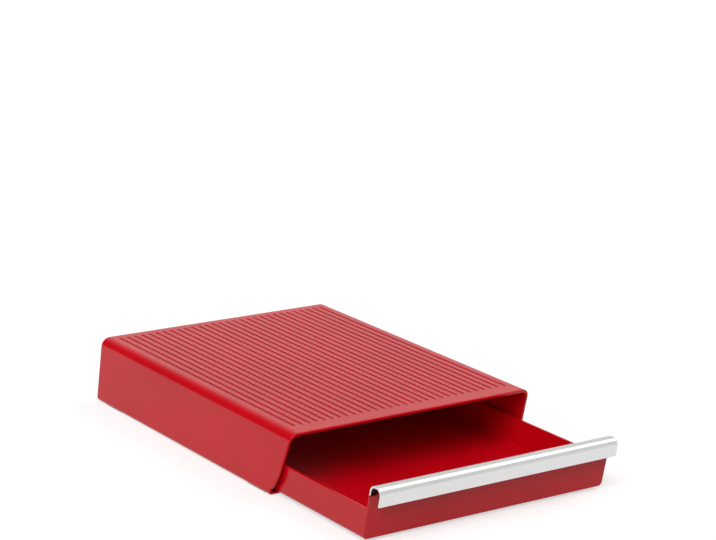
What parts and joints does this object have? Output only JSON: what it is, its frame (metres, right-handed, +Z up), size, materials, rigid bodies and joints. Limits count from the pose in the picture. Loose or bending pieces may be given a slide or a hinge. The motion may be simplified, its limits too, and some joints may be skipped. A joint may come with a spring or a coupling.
{
  "type": "coffee pod drawer",
  "caption": "Low red coffee pod drawer that a brewer stands on: a grooved sleeve with a sliding tray and a satin silver channel handle, drawn part way open.",
  "frame": {"origin": "centre of the bounding box's base at rest, on the surface that the feet stand on, with the drawer drawn out 128 mm", "axes": "+X to the right seen from the front, -Y towards the front and the handle, +Z up"},
  "size_m": [0.2714, 0.4526, 0.0626],
  "materials": {
    "red_plastic": "satin",
    "silver_trim": "satin",
    "screw_steel": "satin",
    "pale_glide": "smooth",
    "dark_rubber": "matt"
  },
  "bodies": {
    "housing": {"cover_shell": "red_plastic", "back_panel": "red_plastic", "bumper_left": "dark_rubber", "bumper_right": "dark_rubber", "glide_strip_left": "pale_glide", "glide_strip_right": "pale_glide", "stop_left": "red_plastic", "stop_right": "red_plastic", "foot_front_left": "dark_rubber", "foot_front_right": "dark_rubber", "foot_rear_left": "dark_rubber", "foot_rear_right": "dark_rubber"},
    "drawer": {"drawer_tray": "red_plastic", "handle_channel": "silver_trim", "handle_screws": "screw_steel"}
  },
  "joints": [
    {"name": "drawer_slide", "type": "slide", "parent": "housing", "child": "drawer", "axis": [0, -1, 0], "range_m": [-0.128, 0.1]}
  ]
}
